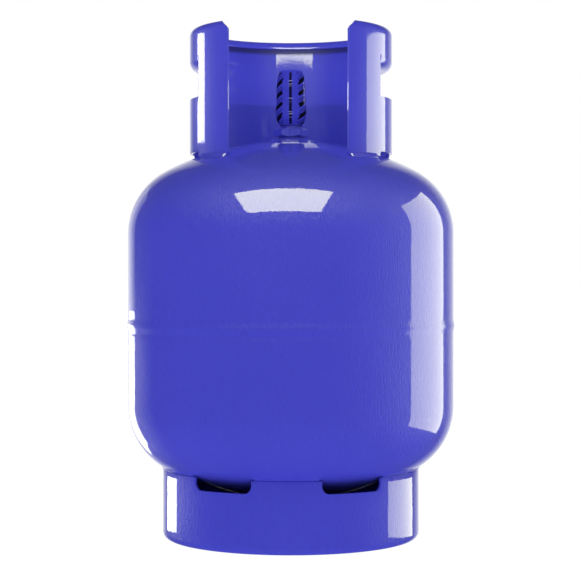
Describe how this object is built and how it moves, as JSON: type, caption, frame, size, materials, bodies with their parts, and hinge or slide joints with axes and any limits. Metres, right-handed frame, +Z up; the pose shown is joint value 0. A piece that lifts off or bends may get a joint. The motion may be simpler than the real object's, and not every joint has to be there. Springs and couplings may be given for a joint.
{
  "type": "propane tank",
  "caption": "Steel propane cylinder with rolled collar and hand holes, slotted foot ring, self-closing clip-on valve, lift-off cap and shrink seal.",
  "frame": {"origin": "on the cylinder axis, at the bottom of the foot ring", "axes": "+Z up along the cylinder axis, -Y towards the front, where the collar has its gap, +X to the right seen from the front"},
  "size_m": [0.3176, 0.3176, 0.4914],
  "materials": {
    "paint": "gloss royal-blue powder coat with light orange peel",
    "valve_paint": "same gloss blue, sprayed over the brass with the cylinder",
    "brass": "machined",
    "rubber": "matt moulded nitrile",
    "spring_steel": "drawn wire",
    "cap_plastic": "moulded polyethylene",
    "sleeve_film": "shrunk blue PVC film with dark slanted bars and a dark tear line"
  },
  "bodies": {
    "vessel": {"upper_shell": "paint", "lower_shell": "paint", "girth_weld": "paint", "valve_boss": "paint", "boss_weld": "paint", "collar": "paint", "collar_welds": "paint", "foot_ring": "paint", "foot_ring_welds": "paint", "valve_body": "valve_paint", "outlet_gasket": "rubber", "spring_retainer": "brass", "poppet_spring": "spring_steel", "relief_nut": "brass", "relief_spring": "spring_steel"},
    "cap": {"protective_cap": "cap_plastic", "seal_sleeve": "sleeve_film"},
    "poppet": {"poppet": "brass", "poppet_pad": "rubber"},
    "relief": {"relief_piston": "brass", "relief_seal": "rubber"}
  },
  "joints": [
    {"name": "cap_lift", "type": "slide", "parent": "vessel", "child": "cap", "axis": [0, 0, 1], "range_m": [0, 0.1]},
    {"name": "poppet_press", "type": "slide", "parent": "vessel", "child": "poppet", "axis": [0, 0, -1], "range_m": [0, 0.004], "stiffness_N_per_m": 3600, "springref_m": -0.004, "deforming": ["poppet_spring"]},
    {"name": "relief_lift", "type": "slide", "parent": "vessel", "child": "relief", "axis": [0, 0, 1], "range_m": [0, 0.0015], "stiffness_N_per_m": 15300, "springref_m": -0.018, "deforming": ["relief_spring"]}
  ]
}
